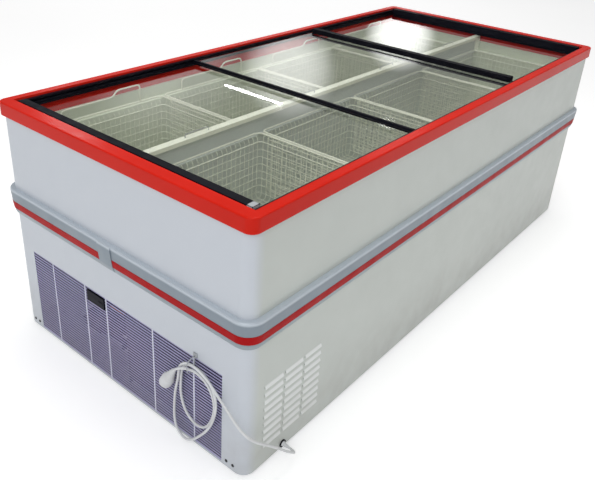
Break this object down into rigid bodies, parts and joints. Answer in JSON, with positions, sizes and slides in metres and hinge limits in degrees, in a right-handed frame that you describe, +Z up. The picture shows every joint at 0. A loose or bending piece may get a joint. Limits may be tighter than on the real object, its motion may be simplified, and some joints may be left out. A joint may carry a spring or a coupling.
{
  "type": "chest freezer",
  "caption": "Long island chest freezer with sliding glass lids in a red rim, a grey bumper with a red insert, a slotted end grille and hanging wire baskets inside.",
  "frame": {"origin": "centre of the cabinet on the floor under the feet", "axes": "+X along the cabinet away from the machine end, +Y across it away from the louvred side, +Z up"},
  "size_m": [2.143, 1.0397, 0.773],
  "materials": {
    "white_paint": "satin enamel on steel sheet",
    "tank_sheet": "pale coated sheet",
    "foam": "rigid foam",
    "copper": "drawn tube",
    "red_rim": "gloss moulding",
    "grey_trim": "silver-grey moulding",
    "red_strip": "gloss insert",
    "grille_paint": "satin enamel",
    "black_plastic": "matte black",
    "grey_plastic": "matte grey",
    "lead_white": "soft white",
    "black_steel": "black enamel",
    "core_alu": "finned core",
    "galvanised": "zinc-coated sheet",
    "basket_white": "plastic-coated wire",
    "rail_cream": "cream moulding",
    "lid_glass": "clear tempered",
    "rubber_foot": "moulded"
  },
  "bodies": {
    "cabinet": {"outer_wrap_lower": "white_paint", "outer_wrap_upper": "white_paint", "base_tray": "galvanised", "foot_0": "rubber_foot", "foot_1": "rubber_foot", "foot_2": "rubber_foot", "foot_3": "rubber_foot", "liner": "tank_sheet", "evaporator": "copper", "insulation": "foam", "rim_front": "red_rim", "rim_back": "red_rim", "rim_left": "red_rim", "rim_right": "red_rim", "rim_corner_0": "red_rim", "rim_corner_1": "red_rim", "rim_corner_2": "red_rim", "rim_corner_3": "red_rim", "bumper_profile": "grey_trim", "bumper_insert": "red_strip", "bumper_joint": "grey_trim", "grille_panel": "grille_paint", "controller": "black_plastic", "cable_grommet": "black_plastic", "strain_relief": "lead_white", "cord_run": "lead_white", "cord_coil": "lead_white", "plug": "lead_white", "cord_tie": "grey_plastic", "compressor": "black_steel", "condenser": "core_alu", "fan_shroud": "black_plastic", "fan_motor": "galvanised", "pipework": "copper", "divider_panel": "white_paint", "divider_rail": "rail_cream", "basket_0": "basket_white", "basket_1": "basket_white", "basket_2": "basket_white", "basket_3": "basket_white", "basket_4": "basket_white", "basket_5": "basket_white", "basket_6": "basket_white", "basket_7": "basket_white", "track_front": "black_plastic", "track_back": "black_plastic", "sill_left": "black_plastic", "sill_right": "black_plastic"},
    "fan": {"fan_blades": "black_plastic"},
    "button_0": {"key_0": "black_plastic"},
    "button_1": {"key_1": "black_plastic"},
    "lid_left": {"glass_left": "lid_glass", "handle_left": "black_plastic", "edge_left": "black_plastic"},
    "lid_middle": {"glass_middle": "lid_glass", "handle_middle": "black_plastic", "edge_middle": "black_plastic"},
    "lid_right": {"glass_right": "lid_glass", "handle_right": "black_plastic", "edge_right": "black_plastic"}
  },
  "joints": [
    {"name": "lid_left_slide", "type": "slide", "parent": "cabinet", "child": "lid_left", "axis": [1, 0, 0], "range_m": [0, 0.62]},
    {"name": "lid_middle_slide", "type": "slide", "parent": "cabinet", "child": "lid_middle", "axis": [1, 0, 0], "range_m": [-0.645, 0.62]},
    {"name": "lid_right_slide", "type": "slide", "parent": "cabinet", "child": "lid_right", "axis": [1, 0, 0], "range_m": [-0.62, 0]},
    {"name": "fan_spin", "type": "hinge", "parent": "cabinet", "child": "fan", "pos_m": [-0.9538, -0.15, 0.146], "axis": [1, 0, 0], "continuous": true},
    {"name": "button_0_press", "type": "slide", "parent": "cabinet", "child": "button_0", "axis": [1, 0, 0], "range_m": [0, 0.0008], "stiffness_N_per_m": 100},
    {"name": "button_1_press", "type": "slide", "parent": "cabinet", "child": "button_1", "axis": [1, 0, 0], "range_m": [0, 0.0008], "stiffness_N_per_m": 100}
  ]
}
